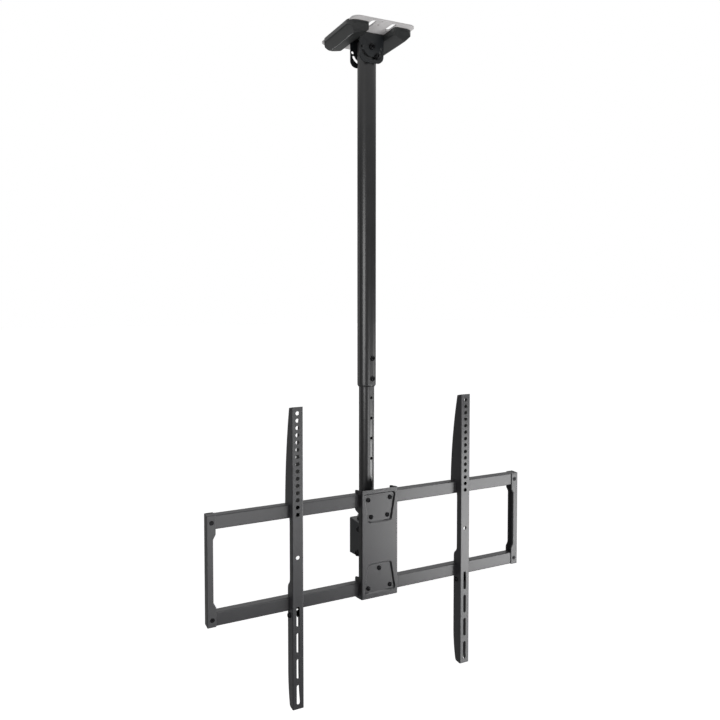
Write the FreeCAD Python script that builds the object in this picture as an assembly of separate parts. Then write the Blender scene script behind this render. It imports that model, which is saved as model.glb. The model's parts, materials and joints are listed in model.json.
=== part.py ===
"""Ceiling mount for a large screen: hanging plate, telescopic pole, swivel and tilt head, rails and arms.

Millimetres. +Z up, X along the rails, the screen side faces -Y. The origin is on the ceiling face of
the ceiling plate, on the pole's axis, so the whole mount hangs below z = 0.
"""
import FreeCAD, Part
import math
import os

V = FreeCAD.Vector
X, Y, Z = V(1, 0, 0), V(0, 1, 0), V(0, 0, 1)

# Tolerances and clearances
TOUCH = 0.01         # edges this near to a face count as lying on it
OVER = 1.0           # how far a cutter reaches past what it cuts
RUN = 0.05           # radial play of a pin or tube that turns or slides
BOLT_PLAY = 0.3      # radial play of a bolt in a plain hole
NUT_PLAY = 0.1       # radial play of a nut on its bolt
SLIDE_PLAY = 0.4     # gap between an arm's notch and the faces of a rail

# Ceiling plate
PLATE_X = 147.0
PLATE_Y = 184.0
PLATE_T = 3.0
PLATE_CORNER = 16.0
CEILING_SLOT_X = 23.5      # slot centre from the middle
CEILING_SLOT_Y = 66.0
CEILING_SLOT_LENGTH = 38.0
CEILING_SLOT_WIDTH = 11.0
SMALL_HOLE_X = 7.0
SMALL_HOLE_YS = (67.0, 85.0)
SMALL_HOLE_D = 6.0

# Pole bracket
LEG_WIDTH = 58.0
LEG_T = 3.0
LEG_BOTTOM = -68.0
LEG_CORNER = 15.0
LEG_BEND = 3.5
LEG_BEND_INSIDE = 1.0
LEG_SIDE_PLAY = 1.0        # gap between tube and leg, filled by a saddle
PIVOT_Z = -34.0
PIVOT_D = 8.0
PIVOT_HEAD_D = 14.0
ARC_R = 24.0               # radius of the arc slot about the pivot
ARC_HALF_ANGLE = 62.0      # each side of straight down
ARC_BOLT_D = 6.0
ARC_BOLT_ANGLE = 36.0      # place of the stop bolt in the slot at rest
ARC_HOLE_ANGLE = 86.0
ARC_HOLE_D = 6.5
SPACER_WALL = 3.0
SADDLE_D = 22.0

# Covers
COVER_IN_X = 30.0
COVER_OUT_X = 76.0
COVER_HALF_Y = 76.0
COVER_WALL = 2.0
COVER_INNER_DEPTH = 18.0   # depth at the edge next to the legs
COVER_RIDGE_DEPTH = 26.0   # depth at the ridge, the deepest line
COVER_RIDGE_X = 61.0       # the bottom falls to here, then a slanted side rises to the outer wall
COVER_OUTER_DEPTH = 10.0   # height of the outer wall
COVER_END_SLOPE = 11.0     # how far the ends lean in at the bottom
COVER_CORNER = 20.0
COVER_INNER_CORNER = 7.0
COVER_CREASE_R = 0.8       # the ridge is a crisp line, the other edges are soft
COVER_SOFT_R = 5.0
COVER_END_R = 14.0         # the ends sweep into the bottom over this radius
COVER_END_SHARE = 0.8      # the ends rise straight over this share of the outer wall's height
COVER_PEG_D = 7.0          # screw pegs inside, above the flat bottom
COVER_PEG_X = 55.0
COVER_PEG_Y = 25.0
COVER_RIM_PLAY = 0.3

# Pole
OUTER_D = 41.5
OUTER_WALL = 2.0
OUTER_TOP = -19.0
OUTER_BOTTOM = -778.0
OUTER_RIM_R = 3.0
INNER_D = 34.5
INNER_WALL = 2.0
INNER_BOTTOM = -1072.5
INNER_LENGTH = 760.0
HOLE_PITCH = 45.5
HOLE_D = 6.5
HOLE_TURN = 12.5           # degrees, the holes and lock screws face this much to the right of the front
TUBE_SCREW_RISE = 62.4     # upper lock screw above the tube's foot, the other sits one pitch below
TUBE_SCREW_D = 6.0
TUBE_SEAT_D = 13.0
TUBE_SEAT_T = 0.6          # seat of a lock screw, outside the tube
FIRST_HOLE_Z = -940.4      # lowest hole of the inner tube
LINER_LENGTH = 30.0
LINER_LIP = 1.2
LINER_LIP_REACH = 0.6      # how far the lip reaches out under the tube's wall
GUIDE_LENGTH = 25.0
GUIDE_CAP = 3.0            # the guide reaches this much past the tube
GUIDE_BORE_D = 26.5

# Head
HUB_PLUG_LENGTH = 28.0
HUB_FLANGE_T = 6.0
HUB_STUD_D = 16.0
HUB_PIN_D = 6.0
HUB_PIN_PROUD = 1.5        # how far each end of the pin stands out of the tube
HUB_CHAMFER = 1.0
HUB_STUD_PROUD = 3.0       # how far the stud stands out of its nut
SWIVEL_WASHER_T = 2.0
SWIVEL_WASHER_D = 43.5
NUT_WASHER_T = 2.5
NUT_WASHER_D = 30.0
HOUSING_HALF_X = 30.0
HOUSING_T = 3.0
HOUSING_TOP_T = 4.0
HOUSING_BACK_Y = 27.5
HOUSING_FRONT_Y = -44.0
HOUSING_HEIGHT = 81.0
HOUSING_RISE = 6.0         # how much higher the foot of its sides is at the front
HOUSING_CHIN = 9.0         # corner taken off the front of that foot
HOUSING_BEND = 3.0
YOKE_T = 3.0
YOKE_PLAY = 0.3            # gap between yoke and housing walls
YOKE_BACK_Y = -2.0
YOKE_SLOPE = 8.0           # how much lower its side walls are at the front
YOKE_MARGIN = 9.0          # web beyond the head screws
YOKE_OVER_LOCK = 8.0       # side walls above the lock bolts
YOKE_UNDER_PIVOT = 7.0     # side walls below the tilt pivot
YOKE_CORNER = 8.0
YOKE_BEND = 2.5
TILT_Y = -14.0
TILT_DROP = 31.0           # tilt pivot below the middle of the frame
TILT_D = 8.0
TILT_LOCK_Y = -21.0
TILT_LOCK_RISE = 25.0      # tilt lock bolts above the middle of the frame
TILT_LOCK_D = 6.0
TILT_UP = 5.0              # degrees, screen facing up
TILT_DOWN = 15.0           # degrees, screen facing down
HUB_NUT_AF = 24.0
HUB_NUT_H = 10.0

# Centre plate
FRAME_Z = -1120.0          # middle of the screen frame
CENTRE_FRONT_Y = -66.0
CENTRE_WIDTH = 88.5
CENTRE_TOP = 123.5         # above the middle of the frame
CENTRE_BOTTOM = -115.0
CENTRE_T = 2.5
CENTRE_BEND = 2.5
FLANGE_DEPTH = 15.5
EAR_DROP = 5.0             # slope of the flange's top and bottom edges
EAR_REACH = 9.0            # ear material beyond the rail on its inner side
EAR_CORNER = 4.0
EAR_SLANT = 4.5            # slant between ear and flange
RECESS_DEPTH = 4.0
RECESS_DRAFT = 2.6
RECESS_CORNER = 6.0
RECESS_WALL = 1.6          # wall of the pressed sides, thinned by the press
UPPER_RECESS = (115.0, 39.2, 50.5, 28.7)      # top, half width there, bottom, half width there
LOWER_RECESS = (-39.0, 28.5, -105.0, 39.4)
RAIL_SCREW_X = 26.6
RAIL_SCREW_INSET = 3.6     # rail screws from the middle line of the rail
HEAD_SCREW_X = 20.0
HEAD_SCREW_UP = 63.0
HEAD_SCREW_DOWN = -52.5
SCREW_D = 6.0
FRAME_HEAD_D = 10.0

# Rails and end brackets
RAIL_FRONT_Y = -50.0
RAIL_DEPTH = 18.0
RAIL_HEIGHT = 28.4
RAIL_WALL = 1.5
RAIL_CORNER = 2.0
FRAME_HEIGHT = 223.4       # over both rails
FRAME_LENGTH = 763.6       # over both end brackets
FRAME_SHIFT = 5.3          # the rails are clamped off centre by this much
END_T = 2.0
END_LOBE = 18.4
END_WAIST = 13.0
END_LOBE_REACH = 10.0      # lobe beyond the rail
END_SLANT = 10.0
END_EXTRA = 0.8            # the bracket stands this much above and below the rails
END_SCREW_X = 10.0         # screw from the outer face
END_CORNER = 1.5
END_CURVE = 4.0            # curve between lobe and waist
END_SCREW_D = 5.0
END_HEAD_D = 9.5
END_HEAD_H = 2.2
END_SCREW_LENGTH = 7.5
END_SOCKET_AF = 3.0
END_SOCKET_DEPTH = 1.5

# Screen arms
ARM_WIDTH = 24.5
ARM_T = 2.0
ARM_BEND = 2.0
ARM_FRONT_Y = -67.0
ARM_TOP = 317.0            # above the middle of the frame
ARM_LENGTH = 632.4
ARM_LEFT_X = -191.6        # centre line of each arm
ARM_RIGHT_X = 222.7
ARM_HOLE_D = 8.4
ARM_HOLE_PITCH = 15.0
ARM_HOLE_COUNT = 15
ARM_FIRST_HOLE = 13.4      # below the arm's top
ARM_MIDDLE_HOLE = 300.0    # below the first hole
ARM_SLOT_WIDTH = 7.0
ARM_SLOT_LENGTH = 41.8
ARM_SLOT_PITCH = 55.1
ARM_SLOT_COUNT = 4
ARM_FIRST_SLOT = 416.0     # top of the first slot below the arm's top
ARM_TOP_DEPTH = 16.5
ARM_TOP_SLOPE = 3.6        # how much lower the top of the flanges is at the back
ARM_SHOULDER_DEPTH = 34.6
ARM_HOOK_DEPTH = 42.5
ARM_WAIST_DEPTH = 15.7
ARM_FOOT_DEPTH = 28.0
ARM_HEEL_DEPTH = 25.3
ARM_END_DEPTH = 19.5
ARM_HOOK_LIP = 18.0        # how far the hook reaches down behind the rail
ARM_HOOK_CURVE = 5.0       # height of the hook's rounded end
ARM_STEP = 3.0             # small step below the upper rail
ARM_HEEL_RISE = 78.0       # above the arm's foot
ARM_ANKLE_RISE = 34.0
ARM_TOE = 3.0
ARM_SWELL_TOP = 40.0       # where the lower part starts to swell, above the lower rail's middle
ARM_SWELL = 24.0
ARM_LOCK_D = 8.0
ARM_HEAD_D = 12.0
ARM_NUT_H = 6.0
ARM_LOCK_DROP = 9.6        # lock screw's middle below the lower rail
ARM_LOCK_Y = -50.0

# Fasteners
HEAD_RATIO = 0.55          # head height of a round-headed screw as a share of its shank
RIM_RATIO = 0.35           # straight rim of a head as a share of its height
CROWN_RATIO = 0.45         # flat crown of a head as a share of its width
DOME_ACROSS = 0.80         # the dome passes through this share of the radius
DOME_UP = 0.72             # at this share of the height over the rim
SOCKET_DEPTH = 0.7         # depth of the socket as a share of the head's height
TIP_RATIO = 0.12           # chamfer of a screw's tip as a share of its shank
SMALL_HEAD_D = 12.0        # heads of the 6 mm bolts
SOCKET_RATIO = 0.65        # width of the hexagon socket as a share of the shank
NUT_AF_RATIO = 1.65
NUT_H_RATIO = 0.8
NUT_CHAMFER = 0.7          # share of a nut's corners that its chamfer takes off
WASHER_T = 1.6
WASHER_D = 15.0            # washers of the stop bolt
SMALL_WASHER_D = 13.0      # washers of the tilt lock bolts
RAIL_NUT_AF = 10.0
PROUD = 2.0                # thread that stands out of a nut


def hexagon(across_flats):
    """A hexagonal face around the Z axis."""
    r = across_flats / math.sqrt(3.0)
    turn = [math.radians(60.0 * i) for i in range(7)]
    return Part.Face(Part.makePolygon([V(r * math.cos(a), r * math.sin(a), 0) for a in turn]))


def place(shape, at, out):
    """Turn a shape made along +Z so that +Z points along out, and move it to a point."""
    shape.Placement = FreeCAD.Placement(at, FreeCAD.Rotation(Z, out))
    return shape


def rod(at, out, diameter, length):
    """A round bar from a point along a direction."""
    return Part.makeCylinder(diameter / 2.0, length, at, out)


def round_screw(at, out, shank_d, length, head_d):
    """A round-headed socket screw. at is the seat under the head, out points from the seat to the head."""
    head_h = HEAD_RATIO * shank_d
    rim = RIM_RATIO * head_h
    r = head_d / 2.0
    crown = CROWN_RATIO * r
    side = Part.makeLine(V(r, 0, 0), V(r, 0, rim))
    middle = V(DOME_ACROSS * r, 0, rim + DOME_UP * (head_h - rim))
    dome = Part.Arc(V(r, 0, rim), middle, V(crown, 0, head_h)).toShape()
    top = Part.makeLine(V(crown, 0, head_h), V(0, 0, head_h))
    axis = Part.makeLine(V(0, 0, head_h), V(0, 0, 0))
    base = Part.makeLine(V(0, 0, 0), V(r, 0, 0))
    head = Part.Face(Part.Wire([side, dome, top, axis, base])).revolve(V(0, 0, 0), Z, 360)
    socket = hexagon(SOCKET_RATIO * shank_d).extrude(Z * head_h)
    socket.translate(V(0, 0, (1 - SOCKET_DEPTH) * head_h))
    shank = Part.makeCylinder(shank_d / 2.0, length, V(0, 0, -length))
    tip = TIP_RATIO * shank_d
    end = [edge for edge in shank.Edges if edge.BoundBox.ZMax < -length + TOUCH]
    shank = shank.makeChamfer(tip, end)
    return place(head.cut(socket).fuse(shank).removeSplitter(), at, out)


def past_nut(shank_d):
    """Length of a bolt from the seat of its nut to its tip."""
    return NUT_H_RATIO * shank_d + PROUD


def nut(at, out, shank_d, af=None, height=None):
    """A hexagon nut with chamfered corners. at is its seat, out points away from the seat."""
    af = af or NUT_AF_RATIO * shank_d
    height = height or NUT_H_RATIO * shank_d
    body = hexagon(af).extrude(Z * height)
    corner = af / math.sqrt(3.0)
    trim = corner - af / 2.0
    cone = Part.makeCone(corner + height, corner - trim * NUT_CHAMFER, height + trim * NUT_CHAMFER)
    body = body.common(cone)
    body = body.cut(Part.makeCylinder(shank_d / 2.0 + NUT_PLAY, height + 2 * OVER, V(0, 0, -OVER)))
    return place(body, at, out)


def washer(at, out, shank_d, outer_d, thickness=WASHER_T, play=BOLT_PLAY):
    """A flat washer. at is its seat, out points away from the seat."""
    ring = Part.makeCylinder(outer_d / 2.0, thickness)
    ring = ring.cut(Part.makeCylinder(shank_d / 2.0 + play, thickness + 2 * OVER, V(0, 0, -OVER)))
    return place(ring, at, out)


def rounded(corners, lift):
    """A closed wire through corners (u, v, radius), each corner rounded, set in space by lift(u, v)."""
    runs = []
    count = len(corners)
    for i, (u, v, r) in enumerate(corners):
        here = V(u, v, 0)
        before = V(*corners[i - 1][:2], 0) - here
        after = V(*corners[(i + 1) % count][:2], 0) - here
        before.normalize()
        after.normalize()
        half = before.getAngle(after) / 2.0
        if r <= 0:
            runs.append((here, None, here))
            continue
        cut = r / math.tan(half)
        bisector = before + after
        bisector.normalize()
        middle = here + bisector * (r / math.sin(half) - r)
        runs.append((here + before * cut, middle, here + after * cut))
    edges = []
    for i, (start, middle, end) in enumerate(runs):
        following = runs[(i + 1) % count][0]
        if middle is not None:
            points = [lift(p.x, p.y) for p in (start, middle, end)]
            edges.append(Part.Arc(*points).toShape())
        if (following - end).Length > TOUCH / 1000:
            edges.append(Part.makeLine(lift(end.x, end.y), lift(following.x, following.y)))
    return Part.Wire(edges)


def xy(z):
    return lambda u, v: V(u, v, z)


def xz(y):
    return lambda u, v: V(u, y, v)


def yz(x):
    return lambda u, v: V(x, u, v)


def slab(corners, lift, along):
    """A rounded outline extruded along a vector."""
    return Part.Face(rounded(corners, lift)).extrude(along)


def obround(centre, length, width, run, through, depth):
    """A cutter for a slot: run is its long direction, through the direction of the cut."""
    half = (length - width) / 2.0
    r = width / 2.0
    start = centre - through * (depth / 2.0)
    cutter = Part.makeCylinder(r, depth, start - run * half, through)
    cutter = cutter.fuse(Part.makeCylinder(r, depth, start + run * half, through))
    side = run.cross(through)
    box = Part.Face(Part.makePolygon([
        start - run * half - side * r, start + run * half - side * r,
        start + run * half + side * r, start - run * half + side * r,
        start - run * half - side * r])).extrude(through * depth)
    return cutter.fuse(box).removeSplitter()


def arc_slot(centre, radius, width, low, high, axis, down, side, depth):
    """A cutter for a curved slot about an axis. Angles in degrees are counted from down towards side."""
    def ray(angle, r):
        a = math.radians(angle)
        return centre + (down * math.cos(a) + side * math.sin(a)) * r
    back = axis * (-depth / 2.0)
    outer, inner = radius + width / 2.0, radius - width / 2.0
    middle = (low + high) / 2.0
    edges = [
        Part.Arc(ray(low, outer) + back, ray(middle, outer) + back, ray(high, outer) + back).toShape(),
        Part.makeLine(ray(high, outer) + back, ray(high, inner) + back),
        Part.Arc(ray(high, inner) + back, ray(middle, inner) + back, ray(low, inner) + back).toShape(),
        Part.makeLine(ray(low, inner) + back, ray(low, outer) + back)]
    cutter = Part.Face(Part.Wire(edges)).extrude(axis * depth)
    for angle in (low, high):
        cutter = cutter.fuse(Part.makeCylinder(width / 2.0, depth, ray(angle, radius) + back, axis))
    return cutter


def ceiling_plate():
    hx, hy = PLATE_X / 2.0, PLATE_Y / 2.0
    corners = [(-hx, -hy, PLATE_CORNER), (hx, -hy, PLATE_CORNER),
               (hx, hy, PLATE_CORNER), (-hx, hy, PLATE_CORNER)]
    plate = slab(corners, xy(-PLATE_T), Z * PLATE_T)
    for sx in (-1, 1):
        for sy in (-1, 1):
            centre = V(sx * CEILING_SLOT_X, sy * CEILING_SLOT_Y, 0)
            plate = plate.cut(obround(centre, CEILING_SLOT_LENGTH, CEILING_SLOT_WIDTH, Y, Z, 4 * PLATE_T))
    for y in SMALL_HOLE_YS:
        for sy in (-1, 1):
            plate = plate.cut(rod(V(sy * SMALL_HOLE_X, sy * y, -2 * PLATE_T), Z, SMALL_HOLE_D, 4 * PLATE_T))
    return plate


LEG_IN_Y = OUTER_D / 2.0 + LEG_SIDE_PLAY
LEG_OUT_Y = LEG_IN_Y + LEG_T
PIVOT = V(0, 0, PIVOT_Z)


def arc_point(angle, y=0.0):
    a = math.radians(angle)
    return V(ARC_R * math.sin(a), y, PIVOT_Z - ARC_R * math.cos(a))


def pole_bracket():
    """Web under the ceiling plate and two legs, folded from one strip."""
    half = LEG_WIDTH / 2.0
    top = -PLATE_T
    outline = [(-LEG_OUT_Y, LEG_BOTTOM, 0), (-LEG_OUT_Y, top, LEG_BEND),
               (LEG_OUT_Y, top, LEG_BEND), (LEG_OUT_Y, LEG_BOTTOM, 0),
               (LEG_IN_Y, LEG_BOTTOM, 0), (LEG_IN_Y, top - LEG_T, LEG_BEND_INSIDE),
               (-LEG_IN_Y, top - LEG_T, LEG_BEND_INSIDE), (-LEG_IN_Y, LEG_BOTTOM, 0)]
    strip = slab(outline, yz(-half), X * LEG_WIDTH)
    front = [(-half, top, 0), (half, top, 0),
             (half, LEG_BOTTOM, LEG_CORNER), (-half, LEG_BOTTOM, LEG_CORNER)]
    bracket = strip.common(slab(front, xz(-2 * LEG_OUT_Y), Y * (4 * LEG_OUT_Y)))
    through = 4 * LEG_OUT_Y
    bracket = bracket.cut(rod(PIVOT - Y * (through / 2), Y, PIVOT_D + 2 * RUN, through))
    bracket = bracket.cut(arc_slot(PIVOT, ARC_R, ARC_BOLT_D + 2 * BOLT_PLAY, -ARC_HALF_ANGLE, ARC_HALF_ANGLE,
                                   Y, V(0, 0, -1), X, through))
    for angle in (-ARC_HOLE_ANGLE, ARC_HOLE_ANGLE):
        bracket = bracket.cut(rod(arc_point(angle, -through / 2), Y, ARC_HOLE_D, through))
    return bracket


def grown(corners, distance):
    """An outline that starts and ends on its open top, its other edges moved outwards by a distance."""
    lines = []
    for (u, v, _), (next_u, next_v, _) in zip(corners, corners[1:]):
        along = V(next_u - u, next_v - v, 0)
        along.normalize()
        out = V(along.y, -along.x, 0)
        lines.append((V(u, v, 0) + out * distance, along))
    moved = [(lines[0][0].x, corners[0][1], 0)]
    for (at, along), (next_at, next_along), corner in zip(lines, lines[1:], corners[1:]):
        reach = (next_at - at).cross(next_along).z / along.cross(next_along).z
        point = at + along * reach
        moved.append((point.x, point.y, corner[2]))
    moved.append((lines[-1][0].x, corners[-1][1], 0))
    return moved


def cover_shape(grow):
    """The solid form of one cover on the +X side, shrunk all round by -grow."""
    near, far, end = COVER_IN_X - grow, COVER_OUT_X + grow, COVER_HALF_Y + grow
    round_in, round_out = COVER_INNER_CORNER + grow, COVER_CORNER + grow
    rim = [(near, -end, round_in), (far, -end, round_out), (far, end, round_out), (near, end, round_in)]
    deep = COVER_RIDGE_DEPTH
    block = slab(rim, xy(-2 * deep), Z * (2 * deep))
    section = [(COVER_IN_X, 0, 0), (COVER_IN_X, -COVER_INNER_DEPTH, 2 * COVER_CREASE_R),
               (COVER_RIDGE_X, -deep, COVER_CREASE_R), (COVER_OUT_X, -COVER_OUTER_DEPTH, COVER_SOFT_R),
               (COVER_OUT_X, 0, 0)]
    block = block.common(slab(grown(section, grow), xz(-2 * COVER_HALF_Y), Y * (4 * COVER_HALF_Y)))
    wall = COVER_OUTER_DEPTH * COVER_END_SHARE
    lean = COVER_HALF_Y - COVER_END_SLOPE
    side = [(-COVER_HALF_Y, 0, 0), (-COVER_HALF_Y, -wall, COVER_SOFT_R), (-lean, -deep, COVER_END_R),
            (lean, -deep, COVER_END_R), (COVER_HALF_Y, -wall, COVER_SOFT_R), (COVER_HALF_Y, 0, 0)]
    return block.common(slab(grown(side, grow), yz(0), X * (2 * COVER_OUT_X)))


def cover(side):
    """A moulded cap over one wing of the ceiling plate, open upwards and cut out round the plate."""
    cap = cover_shape(0.0).cut(cover_shape(-COVER_WALL))
    plate = Part.makeBox(PLATE_X + 2 * COVER_RIM_PLAY, 2 * PLATE_Y, PLATE_T + OVER,
                         V(-PLATE_X / 2.0 - COVER_RIM_PLAY, -PLATE_Y, -PLATE_T))
    cap = cap.cut(plate)
    middle = cover_shape(-COVER_WALL / 2)
    for y in (-COVER_PEG_Y, COVER_PEG_Y):
        peg = rod(V(COVER_PEG_X, y, -COVER_RIDGE_DEPTH), Z, COVER_PEG_D, COVER_RIDGE_DEPTH - PLATE_T)
        cap = cap.fuse(peg.common(middle))
    if side < 0:
        cap = cap.mirror(V(0, 0, 0), X)
    return cap.removeSplitter()


TUBE_R = OUTER_D / 2.0
TUBE_BORE_R = TUBE_R - OUTER_WALL


def pivot_bolt():
    reach = 2 * LEG_OUT_Y + past_nut(PIVOT_D)
    return round_screw(V(0, -LEG_OUT_Y, PIVOT_Z), -Y, PIVOT_D, reach, PIVOT_HEAD_D)


def pivot_nut():
    return nut(V(0, LEG_OUT_Y, PIVOT_Z), Y, PIVOT_D)


def pivot_spacer():
    """A sleeve on the pivot bolt inside the tube, coped to the tube's bore."""
    sleeve = rod(V(0, -TUBE_R, PIVOT_Z), Y, PIVOT_D + 2 * SPACER_WALL, OUTER_D)
    sleeve = sleeve.common(Part.makeCylinder(TUBE_BORE_R, 2 * SADDLE_D, PIVOT - Z * SADDLE_D))
    return sleeve.cut(rod(V(0, -TUBE_R, PIVOT_Z), Y, PIVOT_D + 2 * RUN, OUTER_D))


def pivot_saddle(side):
    """A plastic saddle that fills the gap between the tube and one leg."""
    pad = rod(PIVOT, Y * side, SADDLE_D, LEG_IN_Y)
    pad = pad.cut(Part.makeCylinder(TUBE_R, 2 * SADDLE_D, PIVOT - Z * SADDLE_D))
    return pad.cut(rod(PIVOT, Y * side, PIVOT_D + 2 * BOLT_PLAY, LEG_OUT_Y))


def pivot_saddles():
    return Part.makeCompound([pivot_saddle(-1), pivot_saddle(1)])


def stop_bolt():
    reach = 2 * (LEG_OUT_Y + WASHER_T) + past_nut(ARC_BOLT_D)
    return round_screw(arc_point(ARC_BOLT_ANGLE, -LEG_OUT_Y - WASHER_T), -Y, ARC_BOLT_D, reach, SMALL_HEAD_D)


def stop_nut():
    return nut(arc_point(ARC_BOLT_ANGLE, LEG_OUT_Y + WASHER_T), Y, ARC_BOLT_D)


def stop_washers():
    rings = []
    for side in (-1, 1):
        at = arc_point(ARC_BOLT_ANGLE, side * LEG_OUT_Y)
        rings.append(washer(at, Y * side, ARC_BOLT_D, WASHER_D, play=NUT_PLAY))
    return Part.makeCompound(rings)


def outer_tube():
    length = OUTER_TOP - OUTER_BOTTOM
    tube = Part.makeCylinder(TUBE_R, length, V(0, 0, OUTER_BOTTOM))
    rim = [e for e in tube.Edges if e.BoundBox.ZMax < OUTER_BOTTOM + TOUCH]
    tube = tube.makeFillet(OUTER_RIM_R, rim)
    tube = tube.cut(Part.makeCylinder(TUBE_BORE_R, length + 2 * OVER, V(0, 0, OUTER_BOTTOM - OVER)))
    across = 2 * OUTER_D
    tube = tube.cut(rod(PIVOT - Y * OUTER_D, Y, PIVOT_D + 2 * BOLT_PLAY, across))
    tube = tube.cut(rod(arc_point(ARC_BOLT_ANGLE, -OUTER_D), Y, ARC_BOLT_D + 2 * BOLT_PLAY, across))
    return tube.cut(tube_screw_holes())


HOLE_OUT = V(math.sin(math.radians(HOLE_TURN)), -math.cos(math.radians(HOLE_TURN)), 0)


def tube_screw_levels():
    upper = OUTER_BOTTOM + TUBE_SCREW_RISE
    return [upper, upper - HOLE_PITCH]


def tube_screw_holes():
    """Cutters for the lock screws, from the pole's axis outwards."""
    bore = TUBE_SCREW_D + 2 * NUT_PLAY
    return Part.makeCompound([rod(V(0, 0, z), HOLE_OUT, bore, OUTER_D) for z in tube_screw_levels()])


def tube_lock_screws():
    """Screws that stop just short of the inner tube, so that it can slide."""
    seat = TUBE_R + TUBE_SEAT_T
    reach = seat - INNER_D / 2.0 - BOLT_PLAY
    screws = [round_screw(V(0, 0, z) + HOLE_OUT * seat, HOLE_OUT, TUBE_SCREW_D, reach, SMALL_HEAD_D)
              for z in tube_screw_levels()]
    return Part.makeCompound(screws)


def tube_screw_bosses():
    """Round seats for the lock screws, coped to the tube."""
    seats = []
    for z in tube_screw_levels():
        seat = rod(V(0, 0, z), HOLE_OUT, TUBE_SEAT_D, TUBE_R + TUBE_SEAT_T)
        seat = seat.cut(Part.makeCylinder(TUBE_R, 2 * TUBE_SEAT_D, V(0, 0, z - TUBE_SEAT_D)))
        seats.append(seat.cut(tube_screw_holes()))
    return Part.makeCompound(seats)


INNER_R = INNER_D / 2.0
INNER_BORE_R = INNER_R - INNER_WALL
HUB_PIN_Z = INNER_BOTTOM + HUB_PLUG_LENGTH / 2.0


def tube_liner():
    """A plastic sleeve in the foot of the outer tube, with a lip under its rim."""
    bore = INNER_R + RUN
    height = LINER_LENGTH + LINER_LIP
    sleeve = Part.makeCylinder(TUBE_BORE_R, height, V(0, 0, OUTER_BOTTOM - LINER_LIP))
    lip = Part.makeCylinder(TUBE_BORE_R + LINER_LIP_REACH, LINER_LIP, V(0, 0, OUTER_BOTTOM - LINER_LIP))
    foot = V(0, 0, OUTER_BOTTOM - LINER_LIP - OVER)
    liner = sleeve.fuse(lip).cut(Part.makeCylinder(bore, height + 2 * OVER, foot))
    return liner.cut(tube_screw_holes())


def inner_tube():
    top = INNER_BOTTOM + INNER_LENGTH
    tube = Part.makeCylinder(INNER_R, INNER_LENGTH, V(0, 0, INNER_BOTTOM))
    tube = tube.cut(Part.makeCylinder(INNER_BORE_R, INNER_LENGTH + 2 * OVER, V(0, 0, INNER_BOTTOM - OVER)))
    z = FIRST_HOLE_Z
    while z < top - GUIDE_LENGTH - HOLE_PITCH / 2.0:
        tube = tube.cut(rod(V(0, 0, z) - HOLE_OUT * OUTER_D, HOLE_OUT, HOLE_D, 2 * OUTER_D))
        z += HOLE_PITCH
    return tube.cut(rod(V(-OUTER_D, 0, HUB_PIN_Z), X, HUB_PIN_D, 2 * OUTER_D))


def inner_tube_guide():
    """A plastic ring with a cap on the upper end of the inner tube, which centres it in the outer tube."""
    top = INNER_BOTTOM + INNER_LENGTH
    foot = V(0, 0, top - GUIDE_LENGTH)
    ring = Part.makeCylinder(TUBE_BORE_R - RUN, GUIDE_LENGTH + GUIDE_CAP, foot)
    ring = ring.cut(Part.makeCylinder(INNER_R, GUIDE_LENGTH, foot))
    return ring.cut(Part.makeCylinder(GUIDE_BORE_D / 2.0, 2 * GUIDE_LENGTH, foot))


HUB_FOOT = INNER_BOTTOM - HUB_FLANGE_T
HOUSING_TOP = HUB_FOOT - SWIVEL_WASHER_T
HOUSING_BOTTOM = HOUSING_TOP - HOUSING_HEIGHT
HOUSING_CEILING = HOUSING_TOP - HOUSING_TOP_T
STUD_END = HOUSING_CEILING - NUT_WASHER_T - HUB_NUT_H - HUB_STUD_PROUD


def swivel_hub():
    """Plug in the foot of the inner tube, flange under it and stud through the housing."""
    hub = Part.makeCylinder(INNER_BORE_R, HUB_PLUG_LENGTH, V(0, 0, INNER_BOTTOM))
    flange = Part.makeCylinder(TUBE_R, HUB_FLANGE_T, V(0, 0, HUB_FOOT))
    edges = [e for e in flange.Edges if abs(e.BoundBox.ZLength) < TOUCH]
    hub = hub.fuse(flange.makeChamfer(HUB_CHAMFER, edges))
    hub = hub.fuse(Part.makeCylinder(HUB_STUD_D / 2.0, HUB_FOOT - STUD_END, V(0, 0, STUD_END)))
    return hub.cut(rod(V(-OUTER_D, 0, HUB_PIN_Z), X, HUB_PIN_D, 2 * OUTER_D)).removeSplitter()


def hub_pin():
    """A pin across the tube's foot that holds the hub."""
    pin = rod(V(-INNER_R - HUB_PIN_PROUD, 0, HUB_PIN_Z), X, HUB_PIN_D, INNER_D + 2 * HUB_PIN_PROUD)
    return pin.makeChamfer(HUB_PIN_PROUD / 2.0, [e for e in pin.Edges if abs(e.BoundBox.XLength) < TOUCH])


def swivel_washer():
    return washer(V(0, 0, HOUSING_TOP), Z, HUB_STUD_D, SWIVEL_WASHER_D, SWIVEL_WASHER_T)


def swivel_nut_washer():
    return washer(V(0, 0, HOUSING_CEILING), -Z, HUB_STUD_D, NUT_WASHER_D, NUT_WASHER_T)


def swivel_nut():
    return nut(V(0, 0, HOUSING_CEILING - NUT_WASHER_T), -Z, HUB_STUD_D, HUB_NUT_AF, HUB_NUT_H)


TILT_AXIS = V(0, TILT_Y, FRAME_Z - TILT_DROP)
TILT_LOCK = V(0, TILT_LOCK_Y, FRAME_Z + TILT_LOCK_RISE)
TILT_R = (TILT_LOCK - TILT_AXIS).Length
TILT_LOCK_ANGLE = math.degrees(math.atan2(TILT_LOCK_Y - TILT_Y, TILT_LOCK_RISE + TILT_DROP))


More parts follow.
